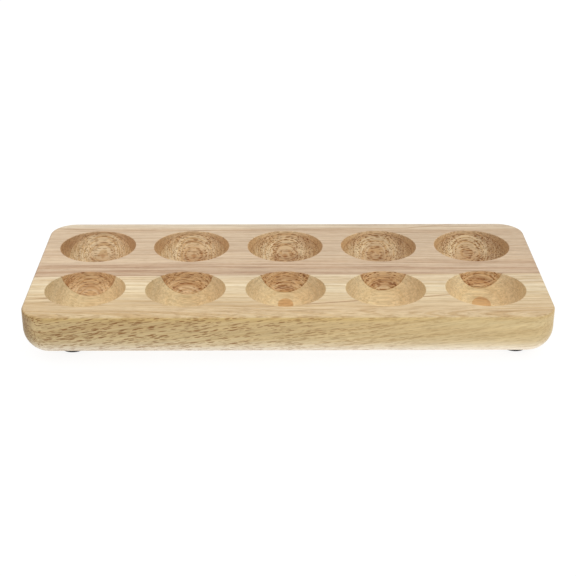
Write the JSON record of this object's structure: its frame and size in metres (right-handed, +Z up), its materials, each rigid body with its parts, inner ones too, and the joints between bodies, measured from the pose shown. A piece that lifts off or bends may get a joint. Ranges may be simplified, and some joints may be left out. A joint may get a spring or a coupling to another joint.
{
  "type": "egg holder tray",
  "caption": "Thick rounded hardwood board with two rows of bowl-shaped wells for eggs, glued from two staves, on low round rubber feet.",
  "frame": {"origin": "on the surface the tray stands on, under the middle of the board's outline", "axes": "+X along the board's length, towards the right seen from the front; -Y the front long edge; +Z up, out of the wells"},
  "size_m": [0.311, 0.138, 0.0308],
  "materials": {
    "stave_front_wood": "fine sanded, light oil, yellow-cream rubberwood",
    "stave_rear_wood": "fine sanded, light oil, pinkish-beige rubberwood",
    "foot_rubber": "moulded matte black",
    "adhesive": "pressure-sensitive acrylic film"
  },
  "bodies": {
    "root": {"stave_front": "stave_front_wood", "stave_rear": "stave_rear_wood", "foot_front_left": "foot_rubber", "foot_front_right": "foot_rubber", "foot_rear_left": "foot_rubber", "foot_rear_right": "foot_rubber", "adhesive_front_left": "adhesive", "adhesive_front_right": "adhesive", "adhesive_rear_left": "adhesive", "adhesive_rear_right": "adhesive"}
  },
  "joints": []
}
